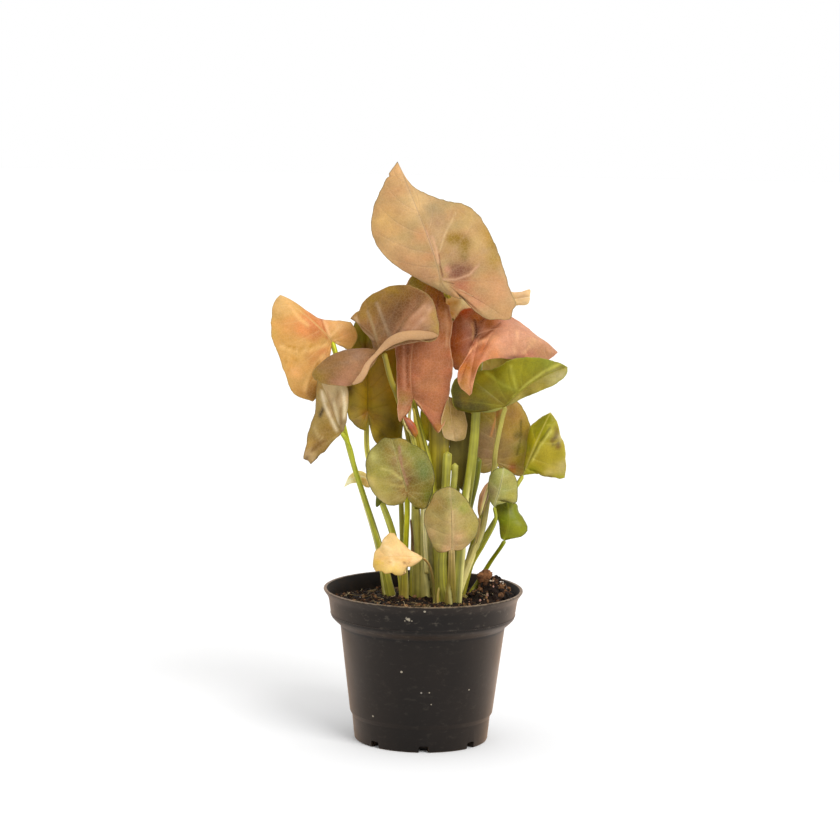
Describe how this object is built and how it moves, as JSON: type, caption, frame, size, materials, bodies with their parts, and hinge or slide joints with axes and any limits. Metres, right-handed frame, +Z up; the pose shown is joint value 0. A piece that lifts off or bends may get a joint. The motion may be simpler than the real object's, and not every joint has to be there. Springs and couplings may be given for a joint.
{
  "type": "arrowhead plant",
  "caption": "Arrowhead plant with folded pink, tan and olive arrow-shaped leaves on long upright stalks, standing in a round black plastic nursery pot filled with potting mix.",
  "frame": {"origin": "centre of the pot's underside, on the surface that the pot stands on", "axes": "+Z up along the pot's axis; -Y towards the plant's front; +X to the right seen from the front"},
  "size_m": [0.155, 0.1046, 0.3029],
  "materials": {
    "pot_plastic": "satin black polypropylene, lightly scuffed",
    "potting_mix": "damp dark peat with fibres and pale grit",
    "bark": "rough reddish-brown bark",
    "blade_pink": "matte pink and terracotta leaf with paler veins",
    "blade_gold": "matte tan and peach leaf with fine veins",
    "blade_brown": "satin brown and mauve leaf with pale veins",
    "blade_olive": "satin dark olive leaf",
    "blade_green": "satin yellow-green leaf with bright veins",
    "blade_mixed": "satin green leaf flushed mauve along its midrib",
    "stalk": "smooth yellow-green leaf stalk with pale sheath",
    "stalk_dry": "dry tan stalk"
  },
  "bodies": {
    "root": {"pot": "pot_plastic", "potting_mix": "potting_mix", "bark_chip": "bark", "leaf_pink": "blade_pink", "leaf_salmon": "blade_pink", "leaf_unfurling": "blade_pink", "leaf_rolled_right": "blade_pink", "leaf_top": "blade_gold", "leaf_far_left": "blade_gold", "leaf_golden": "blade_gold", "leaf_withered": "blade_gold", "leaf_scrap": "blade_gold", "leaf_curled": "blade_brown", "leaf_drooping": "blade_brown", "leaf_tan": "blade_brown", "leaf_back_left": "blade_brown", "leaf_olive": "blade_olive", "leaf_inner": "blade_olive", "leaf_back_right": "blade_olive", "leaf_green": "blade_green", "leaf_lime": "blade_green", "leaf_low_right": "blade_green", "leaf_low_left": "blade_green", "leaf_round": "blade_mixed", "leaf_low_front": "blade_mixed", "leaf_small_right": "blade_mixed", "stalks_left": "stalk", "stalks_front_left": "stalk", "stalk_back_left": "stalk", "stalks_middle": "stalk", "stalks_centre": "stalk", "stalks_front": "stalk", "stalks_right": "stalk", "stalks_back": "stalk", "stalk_withered": "stalk_dry"}
  },
  "joints": []
}
